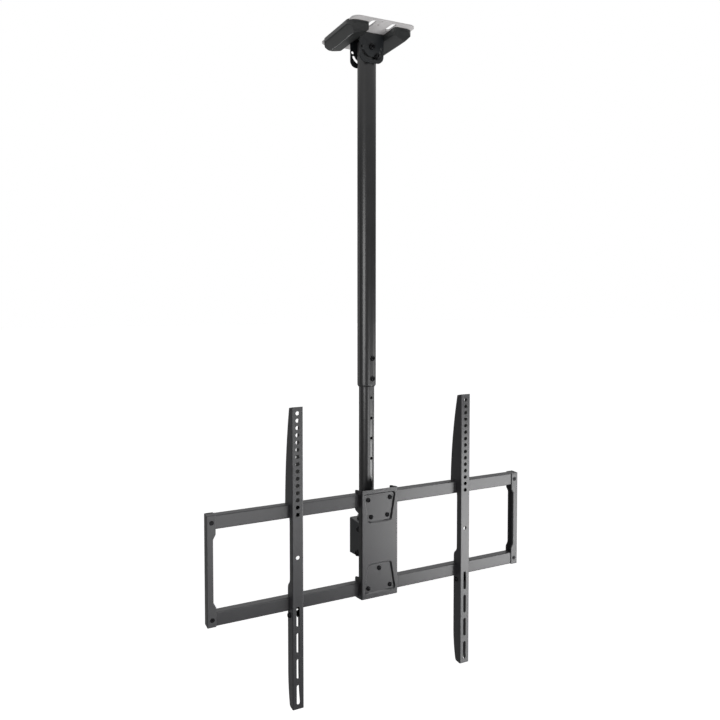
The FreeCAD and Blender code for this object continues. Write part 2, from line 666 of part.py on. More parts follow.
def head_housing():
    """Folded box, open to the front and below, that swivels on the hub."""
    hx = HOUSING_HALF_X
    deep = HOUSING_BACK_Y - HOUSING_FRONT_Y
    box = Part.makeBox(2 * hx, deep, HOUSING_HEIGHT, V(-hx, HOUSING_FRONT_Y, HOUSING_BOTTOM))
    upright = [e for e in box.Edges if e.BoundBox.ZLength > HOUSING_T and e.BoundBox.YMin > 0]
    over = [e for e in box.Edges if e.BoundBox.ZMin > HOUSING_TOP - TOUCH and e.BoundBox.YMax > 0]
    box = box.makeFillet(HOUSING_BEND, upright + over)
    inside = Part.makeBox(2 * (hx - HOUSING_T), deep, HOUSING_HEIGHT,
                          V(-hx + HOUSING_T, HOUSING_FRONT_Y - HOUSING_T, HOUSING_BOTTOM - HOUSING_TOP_T))
    shell = box.cut(inside)
    shell = shell.cut(rod(V(0, 0, HOUSING_TOP), -Z, HUB_STUD_D + 2 * RUN, 2 * HOUSING_TOP_T))
    wide = 4 * hx
    shell = shell.cut(rod(TILT_AXIS - X * (wide / 2), X, TILT_D + 2 * NUT_PLAY, wide))
    slot = arc_slot(TILT_AXIS, TILT_R, TILT_LOCK_D + 2 * BOLT_PLAY, TILT_LOCK_ANGLE - TILT_DOWN,
                    TILT_LOCK_ANGLE + TILT_UP, X, Z, Y, wide)
    shell = shell.cut(slot)
    front, low, foot = HOUSING_FRONT_Y - OVER, HOUSING_BOTTOM - OVER, HOUSING_BOTTOM + HOUSING_RISE
    back = HOUSING_BACK_Y - HOUSING_BEND
    below = [(front, low, 0), (back, low, 0), (back, HOUSING_BOTTOM, 0),
             (HOUSING_FRONT_Y + HOUSING_CHIN, foot, HOUSING_BEND), (front, foot + HOUSING_CHIN, 0)]
    return shell.cut(slab(below, yz(-wide), X * (2 * wide)))


YOKE_OUT_X = HOUSING_HALF_X - HOUSING_T - YOKE_PLAY
YOKE_IN_X = YOKE_OUT_X - YOKE_T
RECESS_BACK_Y = CENTRE_FRONT_Y + RECESS_DEPTH + CENTRE_T
YOKE_WEB_Y = RECESS_BACK_Y + YOKE_T
YOKE_WEB_TOP = HEAD_SCREW_UP + YOKE_MARGIN
YOKE_WEB_BOTTOM = HEAD_SCREW_DOWN - YOKE_MARGIN
YOKE_SIDE_TOP = TILT_LOCK_RISE + YOKE_OVER_LOCK
YOKE_SIDE_BOTTOM = -TILT_DROP - YOKE_UNDER_PIVOT


def tilt_yoke():
    """U bracket: a web behind the centre plate and two walls that turn inside the housing."""
    low, high = FRAME_Z + YOKE_WEB_BOTTOM, FRAME_Z + YOKE_WEB_TOP
    web = [(-YOKE_OUT_X, low, YOKE_CORNER), (YOKE_OUT_X, low, YOKE_CORNER),
           (YOKE_OUT_X, high, YOKE_CORNER), (-YOKE_OUT_X, high, YOKE_CORNER)]
    yoke = slab(web, xz(RECESS_BACK_Y), Y * YOKE_T)
    low, high = FRAME_Z + YOKE_SIDE_BOTTOM, FRAME_Z + YOKE_SIDE_TOP
    side = [(RECESS_BACK_Y, low, 0), (YOKE_BACK_Y, low, YOKE_CORNER),
            (YOKE_BACK_Y, high, YOKE_CORNER), (RECESS_BACK_Y, high - YOKE_SLOPE, 0)]
    for x in (-YOKE_OUT_X, YOKE_IN_X):
        yoke = yoke.fuse(slab(side, yz(x), X * YOKE_T))
    yoke = yoke.removeSplitter()
    bends = [e for e in yoke.Edges
             if abs(e.BoundBox.YMax - RECESS_BACK_Y) < TOUCH and e.BoundBox.ZLength > TILT_DROP
             and abs(abs(e.BoundBox.XMin) - YOKE_OUT_X) < TOUCH and e.BoundBox.XLength < TOUCH]
    yoke = yoke.makeFillet(YOKE_BEND, bends)
    wide = 4 * YOKE_OUT_X
    yoke = yoke.cut(rod(TILT_AXIS - X * (wide / 2), X, TILT_D + 2 * RUN, wide))
    yoke = yoke.cut(rod(TILT_LOCK - X * (wide / 2), X, TILT_LOCK_D + 2 * NUT_PLAY, wide))
    return yoke.cut(frame_screw_holes(head_screw_points()))


def tilt_pivot_bolt():
    reach = 2 * HOUSING_HALF_X + past_nut(TILT_D)
    return round_screw(TILT_AXIS - X * HOUSING_HALF_X, -X, TILT_D, reach, PIVOT_HEAD_D)


def tilt_pivot_nut():
    return nut(TILT_AXIS + X * HOUSING_HALF_X, X, TILT_D)


def tilt_lock_bolts():
    reach = HOUSING_HALF_X + WASHER_T - YOKE_IN_X + past_nut(TILT_LOCK_D)
    seat = HOUSING_HALF_X + WASHER_T
    return Part.makeCompound([
        round_screw(TILT_LOCK + X * (s * seat), X * s, TILT_LOCK_D, reach, SMALL_HEAD_D) for s in (-1, 1)])


def tilt_lock_washers():
    return Part.makeCompound([
        washer(TILT_LOCK + X * (s * HOUSING_HALF_X), X * s, TILT_LOCK_D, SMALL_WASHER_D, play=NUT_PLAY)
        for s in (-1, 1)])


def tilt_lock_nuts():
    return Part.makeCompound([nut(TILT_LOCK + X * (s * YOKE_IN_X), X * (-s), TILT_LOCK_D) for s in (-1, 1)])


RAIL_MIDDLE = (FRAME_HEIGHT - RAIL_HEIGHT) / 2.0
RAIL_BACK_Y = RAIL_FRONT_Y + RAIL_DEPTH


def head_screw_points():
    return [(-HEAD_SCREW_X, HEAD_SCREW_UP), (HEAD_SCREW_X, HEAD_SCREW_UP), (0.0, HEAD_SCREW_DOWN)]


def rail_screw_points():
    return [(sx * RAIL_SCREW_X, sz * RAIL_MIDDLE + RAIL_SCREW_INSET) for sz in (1, -1) for sx in (-1, 1)]


def frame_screw_holes(points):
    """Cutters for screws through the centre plate and what lies behind it."""
    bore = SCREW_D + 2 * BOLT_PLAY
    return Part.makeCompound([
        rod(V(x, CENTRE_FRONT_Y, FRAME_Z + z), Y, bore, FLANGE_DEPTH) for x, z in points])


def recess(sizes, front_y, shrink):
    """The tapered form of a pressed recess, from front_y to RECESS_DEPTH further back."""
    top, top_half, bottom, bottom_half = sizes

    def ring(inset, y):
        return rounded([(-bottom_half + inset, FRAME_Z + bottom + inset, RECESS_CORNER),
                        (bottom_half - inset, FRAME_Z + bottom + inset, RECESS_CORNER),
                        (top_half - inset, FRAME_Z + top - inset, RECESS_CORNER),
                        (-top_half + inset, FRAME_Z + top - inset, RECESS_CORNER)], xz(y))
    return Part.makeLoft([ring(shrink, front_y), ring(shrink + RECESS_DRAFT, front_y + RECESS_DEPTH)], True)


def centre_plate():
    """Pressed plate: front face, two recesses, side flanges with ears that hold the rails."""
    half = CENTRE_WIDTH / 2.0
    low, high = FRAME_Z + CENTRE_BOTTOM, FRAME_Z + CENTRE_TOP
    ear = RAIL_FRONT_Y + RAIL_DEPTH
    flange = CENTRE_FRONT_Y + FLANGE_DEPTH
    inner = FRAME_HEIGHT / 2.0 - RAIL_HEIGHT - EAR_REACH
    outline = [(CENTRE_FRONT_Y, low, 0), (ear, low - EAR_DROP, EAR_CORNER),
               (ear, FRAME_Z - inner, EAR_CORNER), (flange, FRAME_Z - inner + EAR_SLANT, EAR_CORNER),
               (flange, FRAME_Z + inner - EAR_SLANT, EAR_CORNER), (ear, FRAME_Z + inner, EAR_CORNER),
               (ear, high - EAR_DROP, EAR_CORNER), (CENTRE_FRONT_Y, high, 0)]
    block = slab(outline, yz(-half), X * CENTRE_WIDTH)
    folds = [e for e in block.Edges
             if abs(e.BoundBox.YMax - CENTRE_FRONT_Y) < TOUCH and e.BoundBox.ZLength > CENTRE_TOP]
    block = block.makeFillet(CENTRE_BEND, folds)
    inside = Part.makeBox(CENTRE_WIDTH - 2 * CENTRE_T, CENTRE_WIDTH, 2 * (high - low),
                          V(-half + CENTRE_T, CENTRE_FRONT_Y + CENTRE_T, low - (high - low) / 2.0))
    plate = block.cut(inside)
    for sizes in (UPPER_RECESS, LOWER_RECESS):
        plate = plate.fuse(recess(sizes, CENTRE_FRONT_Y + CENTRE_T, -RECESS_WALL))
        plate = plate.cut(recess(sizes, CENTRE_FRONT_Y, 0.0))
    for sz in (1, -1):
        corner = V(-CENTRE_WIDTH, RAIL_FRONT_Y, FRAME_Z + sz * RAIL_MIDDLE - RAIL_HEIGHT / 2.0)
        plate = plate.cut(Part.makeBox(2 * CENTRE_WIDTH, 2 * RAIL_DEPTH, RAIL_HEIGHT, corner))
    plate = plate.cut(frame_screw_holes(head_screw_points() + rail_screw_points()))
    return plate.removeSplitter()


RECESS_FLOOR_Y = CENTRE_FRONT_Y + RECESS_DEPTH


def plate_screws(points, nut_seat_y):
    """Screws with their heads in the recesses and their nuts on a face behind the plate."""
    reach = nut_seat_y - RECESS_FLOOR_Y + past_nut(SCREW_D)
    return Part.makeCompound([
        round_screw(V(x, RECESS_FLOOR_Y, FRAME_Z + z), -Y, SCREW_D, reach, FRAME_HEAD_D) for x, z in points])


def head_screws():
    return plate_screws(head_screw_points(), YOKE_WEB_Y)


def head_nuts():
    return Part.makeCompound([
        nut(V(x, YOKE_WEB_Y, FRAME_Z + z), Y, SCREW_D) for x, z in head_screw_points()])


def rail_screws():
    return plate_screws(rail_screw_points(), RAIL_FRONT_Y + RAIL_WALL)


def rail_spacers():
    """Sleeves round the rail screws, from the back of the recess to the front of the rail."""
    gap = RAIL_FRONT_Y - RECESS_BACK_Y
    bore = SCREW_D + 2 * BOLT_PLAY
    sleeves = []
    for x, z in rail_screw_points():
        at = V(x, RECESS_BACK_Y, FRAME_Z + z)
        sleeves.append(rod(at, Y, SCREW_D + 2 * SPACER_WALL, gap).cut(rod(at, Y, bore, gap)))
    return Part.makeCompound(sleeves)


def rail_nuts():
    return Part.makeCompound([nut(V(x, RAIL_FRONT_Y + RAIL_WALL, FRAME_Z + z), Y, SCREW_D, RAIL_NUT_AF)
                              for x, z in rail_screw_points()])


FRAME_LEFT = FRAME_SHIFT - FRAME_LENGTH / 2.0
FRAME_RIGHT = FRAME_SHIFT + FRAME_LENGTH / 2.0


def rail(level):
    """A square-cornered tube between the end brackets, with holes for its screws."""
    z = FRAME_Z + level * RAIL_MIDDLE
    h, d, w = RAIL_HEIGHT / 2.0, RAIL_DEPTH, RAIL_WALL
    start, length = FRAME_LEFT + END_T, FRAME_LENGTH - 2 * END_T
    inner = RAIL_CORNER - w
    outside = [(RAIL_FRONT_Y, z - h, RAIL_CORNER), (RAIL_FRONT_Y + d, z - h, RAIL_CORNER),
               (RAIL_FRONT_Y + d, z + h, RAIL_CORNER), (RAIL_FRONT_Y, z + h, RAIL_CORNER)]
    inside = [(RAIL_FRONT_Y + w, z - h + w, inner), (RAIL_FRONT_Y + d - w, z - h + w, inner),
              (RAIL_FRONT_Y + d - w, z + h - w, inner), (RAIL_FRONT_Y + w, z + h - w, inner)]
    tube = slab(outside, yz(start), X * length).cut(slab(inside, yz(start), X * length))
    bore = SCREW_D + 2 * BOLT_PLAY
    for x, dz in rail_screw_points():
        if dz * level > 0:
            tube = tube.cut(rod(V(x, RAIL_FRONT_Y - OVER, FRAME_Z + dz), Y, bore, RAIL_DEPTH / 2))
    for x in (FRAME_LEFT + END_SCREW_X, FRAME_RIGHT - END_SCREW_X):
        tube = tube.cut(rod(V(x, RAIL_FRONT_Y - OVER, z), Y, END_SCREW_D + 2 * NUT_PLAY, RAIL_DEPTH / 2))
    return tube


def end_bracket(side):
    """A C-channel over the ends of both rails, wide at the rails and narrow between them."""
    half = FRAME_HEIGHT / 2.0 + END_EXTRA
    lobe_end = FRAME_HEIGHT / 2.0 - RAIL_HEIGHT - END_LOBE_REACH
    waist_end = lobe_end - END_SLANT
    outer = FRAME_RIGHT
    lobe, waist = outer - END_LOBE, outer - END_WAIST
    front = [(outer, FRAME_Z - half, END_CORNER), (outer, FRAME_Z + half, END_CORNER),
             (lobe, FRAME_Z + half, END_CORNER), (lobe, FRAME_Z + lobe_end, END_CURVE),
             (waist, FRAME_Z + waist_end, END_CURVE), (waist, FRAME_Z - waist_end, END_CURVE),
             (lobe, FRAME_Z - lobe_end, END_CURVE), (lobe, FRAME_Z - half, END_CORNER)]
    depth = RAIL_DEPTH + 2 * END_T
    block = slab(front, xz(RAIL_FRONT_Y - END_T), Y * depth)
    cut = Part.makeBox(2 * END_LOBE, RAIL_DEPTH, 4 * half,
                       V(outer - END_T - 2 * END_LOBE, RAIL_FRONT_Y, FRAME_Z - 2 * half))
    channel = block.cut(cut)
    bends = [e for e in channel.Edges if e.BoundBox.ZLength > half and e.BoundBox.XMin > outer - TOUCH]
    channel = channel.makeFillet(END_CORNER, bends)
    head_r, bore_r = END_HEAD_D / 2.0 + NUT_PLAY, END_SCREW_D / 2.0 + NUT_PLAY
    for sz in (1, -1):
        at = V(outer - END_SCREW_X, RAIL_FRONT_Y - END_T, FRAME_Z + sz * RAIL_MIDDLE)
        channel = channel.cut(rod(at - Y * OVER, Y, 2 * bore_r, END_T + 2 * OVER))
        channel = channel.cut(Part.makeCone(head_r, bore_r, END_HEAD_H, at, Y))
    if side < 0:
        channel = channel.mirror(V(FRAME_SHIFT, 0, 0), X)
    return channel


def countersunk_screw(at):
    """A flat-headed screw with a hexagon socket, its head flush with at, pointing along +Y."""
    head = Part.makeCone(END_HEAD_D / 2.0, END_SCREW_D / 2.0, END_HEAD_H)
    shank = Part.makeCylinder(END_SCREW_D / 2.0, END_SCREW_LENGTH)
    screw = head.fuse(shank)
    screw = screw.cut(hexagon(END_SOCKET_AF).extrude(Z * END_SOCKET_DEPTH))
    return place(screw.removeSplitter(), at, Y)


def end_bracket_screws():
    screws = []
    for x in (FRAME_LEFT + END_SCREW_X, FRAME_RIGHT - END_SCREW_X):
        for sz in (1, -1):
            screws.append(countersunk_screw(V(x, RAIL_FRONT_Y - END_T, FRAME_Z + sz * RAIL_MIDDLE)))
    return Part.makeCompound(screws)


def swell(z_top, z_bottom, depth_top, depth_bottom):
    """Two tangent arcs that carry the edge of an arm from one depth to another, as points in (depth, z)."""
    rise = depth_bottom - depth_top
    run = z_top - z_bottom
    radius = (run * run + rise * rise) / (4.0 * rise)
    sweep = math.asin((run / 2.0) / radius)
    near = (depth_top + radius * (1 - math.cos(sweep / 2)), z_top - radius * math.sin(sweep / 2))
    middle = ((depth_top + depth_bottom) / 2.0, (z_top + z_bottom) / 2.0)
    far = (depth_bottom - radius * (1 - math.cos(sweep / 2)), z_bottom + radius * math.sin(sweep / 2))
    return near, middle, far, (depth_bottom, z_bottom)


def arm_side_outline():
    """The closed side view of an arm: its notches, hook, waist and curved edges, in the plane x = 0."""
    rail_top = FRAME_HEIGHT / 2.0
    upper_foot = rail_top - RAIL_HEIGHT
    notch = RAIL_FRONT_Y - SLIDE_PLAY - ARM_FRONT_Y
    behind = RAIL_BACK_Y + SLIDE_PLAY - ARM_FRONT_Y
    bottom = ARM_TOP - ARM_LENGTH
    shoulder = (ARM_TOP + rail_top) / 2.0
    swell_top = -RAIL_MIDDLE + RAIL_HEIGHT / 2.0 + ARM_SWELL_TOP
    near, middle, far, swell_end = swell(swell_top, swell_top - ARM_SWELL, ARM_WAIST_DEPTH, ARM_FOOT_DEPTH)
    lip = rail_top - ARM_HOOK_LIP
    heel = bottom + ARM_HEEL_RISE
    ankle = bottom + ARM_ANKLE_RISE

    def at(depth, z):
        return V(0, ARM_FRONT_Y + depth, FRAME_Z + z)
    path = [
        ("line", at(0, ARM_TOP)), ("line", at(ARM_TOP_DEPTH, ARM_TOP - ARM_TOP_SLOPE)),
        ("arc", at(ARM_SHOULDER_DEPTH, shoulder), at(ARM_HOOK_DEPTH, rail_top)),
        ("line", at(ARM_HOOK_DEPTH, lip + ARM_HOOK_CURVE)),
        ("arc", at((ARM_HOOK_DEPTH + behind) / 2.0, lip), at(behind, lip + ARM_HOOK_CURVE)),
        ("line", at(behind, rail_top)), ("line", at(notch, rail_top)),
        ("line", at(notch, upper_foot - ARM_STEP)), ("line", at(ARM_WAIST_DEPTH, upper_foot - 2 * ARM_STEP)),
        ("line", at(ARM_WAIST_DEPTH, swell_top)),
        ("arc", at(*near), at(*middle)), ("arc", at(*far), at(*swell_end)),
        ("line", at(ARM_FOOT_DEPTH, -upper_foot + SLIDE_PLAY)),
        ("line", at(notch, -upper_foot + SLIDE_PLAY)), ("line", at(notch, -rail_top - SLIDE_PLAY)),
        ("line", at(ARM_FOOT_DEPTH, -rail_top - SLIDE_PLAY)),
        ("line", at(ARM_FOOT_DEPTH, heel)),
        ("arc", at(ARM_HEEL_DEPTH, ankle), at(ARM_END_DEPTH, bottom + ARM_TOE)),
        ("line", at(ARM_END_DEPTH - ARM_TOE, bottom)), ("line", at(0, bottom)), ("line", at(0, ARM_TOP))]
    edges = []
    here = path[0][1]
    for step in path[1:]:
        if step[0] == "line":
            edges.append(Part.makeLine(here, step[1]))
        else:
            edges.append(Part.Arc(here, step[1], step[2]).toShape())
        here = step[-1]
    return Part.Face(Part.Wire(edges))


def arm(centre_x):
    """A U-channel with a row of holes, a row of slots and hooked, curved flanges."""
    half = ARM_WIDTH / 2.0
    block = arm_side_outline()
    block.translate(V(centre_x - half, 0, 0))
    block = block.extrude(X * ARM_WIDTH)
    folds = [e for e in block.Edges
             if abs(e.BoundBox.YMax - ARM_FRONT_Y) < TOUCH and e.BoundBox.ZLength > ARM_TOP]
    block = block.makeFillet(ARM_BEND, folds)
    inside = Part.makeBox(ARM_WIDTH - 2 * ARM_T, 2 * ARM_HOOK_DEPTH, 2 * ARM_LENGTH,
                          V(centre_x - half + ARM_T, ARM_FRONT_Y + ARM_T, FRAME_Z - ARM_LENGTH))
    channel = block.cut(inside)
    levels = [arm_hole_level(k) for k in range(ARM_HOLE_COUNT)] + [arm_hole_level(0) - ARM_MIDDLE_HOLE]
    for z in levels:
        channel = channel.cut(rod(V(centre_x, ARM_FRONT_Y, z), Y, ARM_HOLE_D, 2 * ARM_T))
    for k in range(ARM_SLOT_COUNT):
        centre = V(centre_x, ARM_FRONT_Y, arm_slot_level(k))
        channel = channel.cut(obround(centre, ARM_SLOT_LENGTH, ARM_SLOT_WIDTH, Z, Y, 4 * ARM_T))
    lock = V(centre_x - ARM_WIDTH, ARM_LOCK_Y, lock_level())
    return channel.cut(rod(lock, X, ARM_LOCK_D + 2 * NUT_PLAY, ARM_WIDTH))


def arm_hole_level(k):
    return FRAME_Z + ARM_TOP - ARM_FIRST_HOLE - k * ARM_HOLE_PITCH


def arm_slot_level(k):
    return FRAME_Z + ARM_TOP - ARM_FIRST_SLOT - ARM_SLOT_LENGTH / 2.0 - k * ARM_SLOT_PITCH


def lock_level():
    return FRAME_Z - FRAME_HEIGHT / 2.0 - ARM_LOCK_DROP


def arm_lock_screw(centre_x):
    """Through the left wall of the arm and into a nut on the inner face of its right wall."""
    reach = ARM_WIDTH - ARM_T - BOLT_PLAY
    seat = V(centre_x - ARM_WIDTH / 2.0, ARM_LOCK_Y, lock_level())
    return round_screw(seat, -X, ARM_LOCK_D, reach, ARM_HEAD_D)


def arm_lock_nut(centre_x):
    seat = V(centre_x + ARM_WIDTH / 2.0 - ARM_T, ARM_LOCK_Y, lock_level())
    return nut(seat, -X, ARM_LOCK_D, NUT_AF_RATIO * ARM_LOCK_D, ARM_NUT_H)


NODES = {
    "ceiling_plate": ceiling_plate(),
    "pole_bracket": pole_bracket(),
    "cover_left": cover(-1),
    "cover_right": cover(1),
    "pivot_bolt": pivot_bolt(),
    "pivot_nut": pivot_nut(),
    "pivot_spacer": pivot_spacer(),
    "pivot_saddles": pivot_saddles(),
    "stop_bolt": stop_bolt(),
    "stop_nut": stop_nut(),
    "stop_washers": stop_washers(),
    "outer_tube": outer_tube(),
    "tube_screw_bosses": tube_screw_bosses(),
    "tube_lock_screws": tube_lock_screws(),
    "tube_liner": tube_liner(),
    "inner_tube": inner_tube(),
    "inner_tube_guide": inner_tube_guide(),
    "swivel_hub": swivel_hub(),
    "hub_pin": hub_pin(),
    "swivel_washer": swivel_washer(),
    "head_housing": head_housing(),
    "swivel_nut_washer": swivel_nut_washer(),
    "swivel_nut": swivel_nut(),
    "tilt_yoke": tilt_yoke(),
    "tilt_pivot_bolt": tilt_pivot_bolt(),
    "tilt_pivot_nut": tilt_pivot_nut(),
    "tilt_lock_bolts": tilt_lock_bolts(),
    "tilt_lock_washers": tilt_lock_washers(),
    "tilt_lock_nuts": tilt_lock_nuts(),
    "centre_plate": centre_plate(),
    "head_screws": head_screws(),
    "head_nuts": head_nuts(),
    "rail_screws": rail_screws(),
    "rail_spacers": rail_spacers(),
    "rail_nuts": rail_nuts(),
    "rail_upper": rail(1),
    "rail_lower": rail(-1),
    "end_bracket_left": end_bracket(-1),
    "end_bracket_right": end_bracket(1),
    "end_bracket_screws": end_bracket_screws(),
    "arm_left": arm(ARM_LEFT_X),
    "arm_right": arm(ARM_RIGHT_X),
    "arm_lock_screw_left": arm_lock_screw(ARM_LEFT_X),
    "arm_lock_screw_right": arm_lock_screw(ARM_RIGHT_X),
    "arm_lock_nut_left": arm_lock_nut(ARM_LEFT_X),
    "arm_lock_nut_right": arm_lock_nut(ARM_RIGHT_X),
}

os.makedirs("parts", exist_ok=True)
for name, shape in NODES.items():
    shape.exportStep("parts/" + name + ".step")
    state = "closed" if shape.isValid() and all(s.isClosed() for s in shape.Solids) else "BAD"
    print(name, len(shape.Solids), "solids", state, "volume %.0f" % shape.Volume)
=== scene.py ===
"""Ceiling mount for a large screen: its coats, the threads of its screws, and the studio that it hangs in.

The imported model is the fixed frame. Each operator finishes one group of its pieces, and the last one sets
the camera, the lamps and the floor. Lengths are in metres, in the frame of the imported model.
"""
import json
import math

import bmesh
import bpy
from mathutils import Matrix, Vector


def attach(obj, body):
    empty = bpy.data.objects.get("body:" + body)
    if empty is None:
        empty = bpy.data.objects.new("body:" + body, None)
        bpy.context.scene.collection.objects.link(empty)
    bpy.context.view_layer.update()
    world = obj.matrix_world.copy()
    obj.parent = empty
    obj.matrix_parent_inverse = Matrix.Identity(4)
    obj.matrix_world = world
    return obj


bl_info = {
    "name": "Screen ceiling mount",
    "version": (1, 0, 0),
    "blender": (4, 5, 0),
    "location": "3D View > Sidebar > Ceiling mount",
    "description": "Finishes the packed ceiling mount and sets its studio",
    "category": "Object",
}

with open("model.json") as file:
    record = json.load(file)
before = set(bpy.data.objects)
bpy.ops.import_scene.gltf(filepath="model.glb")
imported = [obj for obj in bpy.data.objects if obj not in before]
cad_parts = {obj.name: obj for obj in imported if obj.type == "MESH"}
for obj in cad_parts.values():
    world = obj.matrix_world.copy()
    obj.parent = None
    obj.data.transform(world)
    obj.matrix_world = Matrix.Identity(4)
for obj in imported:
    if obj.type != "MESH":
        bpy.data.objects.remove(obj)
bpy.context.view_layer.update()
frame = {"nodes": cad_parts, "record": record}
NODES = frame["nodes"]
BODIES = frame["record"]["behaviour"]["bodies"]
BODY_OF = {node: body for body, nodes in BODIES.items() for node in nodes}

# CAD nodes by their finish
FRAME_PIECES = ("centre_plate", "rail_upper", "rail_lower")
END_PIECES = ("end_bracket_left", "end_bracket_right")
ARM_PIECES = ("arm_left", "arm_right")
HEAD_PIECES = ("head_housing", "tilt_yoke", "swivel_hub", "rail_spacers")
TUBE_PIECES = ("outer_tube", "inner_tube", "tube_screw_bosses")
PLATE_PIECES = ("ceiling_plate",)
BRACKET_PIECES = ("pole_bracket",)
COVER_PIECES = ("cover_left", "cover_right")
NYLON_PIECES = ("tube_liner", "inner_tube_guide", "pivot_spacer", "pivot_saddles", "swivel_washer")
SCREW_PIECES = (
    "pivot_bolt", "pivot_nut", "stop_bolt", "stop_nut", "stop_washers", "tube_lock_screws", "hub_pin",
    "swivel_nut_washer", "swivel_nut", "tilt_pivot_bolt", "tilt_pivot_nut", "tilt_lock_bolts",
    "tilt_lock_washers", "tilt_lock_nuts", "head_screws", "head_nuts", "rail_screws", "rail_nuts",
    "end_bracket_screws", "arm_lock_screw_left", "arm_lock_screw_right", "arm_lock_nut_left",
    "arm_lock_nut_right",
)

X, Y, Z = 0, 1, 2
SCREW_PITCH = 0.001
STUD_PITCH = 0.0015
# Screw, its nut, the axis that it lies along and the pitch of its thread
THREADS = (
    ("pivot_bolt", "pivot_nut", Y, SCREW_PITCH),
    ("stop_bolt", "stop_nut", Y, SCREW_PITCH),
    ("tilt_pivot_bolt", "tilt_pivot_nut", X, SCREW_PITCH),
    ("tilt_lock_bolts", "tilt_lock_nuts", X, SCREW_PITCH),
    ("head_screws", "head_nuts", Y, SCREW_PITCH),
    ("rail_screws", "rail_nuts", Y, SCREW_PITCH),
    ("swivel_hub", "swivel_nut", Z, STUD_PITCH),
)
THREAD_STEPS = 24        # steps round one turn of a thread
RIDGE_SIDES = 4          # a thread's ridge is a small diamond
RIDGE_SHARE = 0.22       # half height of a thread's ridge as a share of its pitch
STRAIGHT_SHARE = 0.97    # a screw's points this far out lie on its straight shank
SAME_POINT = 1e-6

# Sockets of a colour's Mix node by number, because their names repeat
MIX_FACTOR, MIX_FIRST, MIX_SECOND, MIX_RESULT = 0, 6, 7, 2
BEVEL_SAMPLES = 6
EDGE_RANGE = (0.99, 0.75)    # cosine between the plain and the rounded normal, from off an edge to on it

# Away from its rubbed edges each coat stays rougher than 0.274. A coat that crosses it gets contour lines
# from the renderer's denoiser.
POWDER_ROUGHNESS = 0.29
END_ROUGHNESS = 0.36
TUBE_ROUGHNESS = (0.277, 0.31)
NYLON_ROUGHNESS = 0.5
COVER_ROUGHNESS = 0.38
PLATE_ROUGHNESS = (0.36, 0.46)
STEEL_ROUGHNESS = (0.28, 0.42)
# Soft edges of the moulded covers and of the screws, as shares of the folded pieces' soft edge
COVER_EDGE_SHARE = 1.5
SCREW_EDGE_SHARE = 0.5

MIDDLE = (0.0, 0.0, -1.1)    # where most softboxes aim, between the two rails
SENSOR_WIDTH = 36.0          # millimetres
FLOOR_SIZE = 120.0
FLOOR_GLOW = 0.89            # brings the floor to the backdrop's white, for the camera alone
BOUNCE_HEIGHT = 0.1          # of the low bounce above the floor
SKY_RANGE = (0.22, 0.40)     # upward share of a direction over which reflections turn white
WHITE = (1.0, 1.0, 1.0)


def colour_setting(name, description, rgb):
    return bpy.props.FloatVectorProperty(
        name=name, description=description, subtype="COLOR", size=3, min=0.0, max=1.0, default=rgb)


def power_setting(name, description, watts):
    return bpy.props.FloatProperty(
        name=name, description="Power of " + description, unit="POWER", min=0.0, default=watts)


class CoatSettings(bpy.types.PropertyGroup):
    """Colours, wear and edges of the finishes."""
    coat_colour: colour_setting(
        "Powder coat", "Charcoal of the rails, plate and arms", (0.034, 0.034, 0.037))
    end_colour: colour_setting(
        "End bracket coat", "Slightly paler charcoal of the two end brackets", (0.050, 0.050, 0.053))
    head_colour: colour_setting(
        "Head coat", "Darker coat of the bracket, housing and yoke", (0.014, 0.016, 0.018))
    tube_colour: colour_setting(
        "Tube coat", "Smooth black of the two tubes", (0.020, 0.020, 0.021))
    cover_colour: colour_setting(
        "Cover plastic", "Moulded plastic of the two covers", (0.028, 0.030, 0.030))
    nylon_colour: colour_setting(
        "Nylon", "Liner, guide, saddles and swivel washer", (0.020, 0.020, 0.021))
    screw_colour: colour_setting(
        "Screws", "Blackened steel of screws, nuts and washers", (0.013, 0.013, 0.014))
    # The ceiling plate's pale colour is partly its own coat and partly painted light: it stands in for the
    # light on the plate's underside.
    plate_colour_and_painted_light: colour_setting(
        "Ceiling plate", "Pale coat of the ceiling plate", (0.72, 0.70, 0.70))
    wear: bpy.props.FloatProperty(
        name="Edge wear", description="How far the coat is rubbed on edges", min=0.0, max=1.0,
        subtype="FACTOR", default=0.35)
    edge: bpy.props.FloatProperty(
        name="Soft edge", description="Radius over which a folded or cut edge looks rounded", unit="LENGTH",
        min=0.0, default=0.0007)


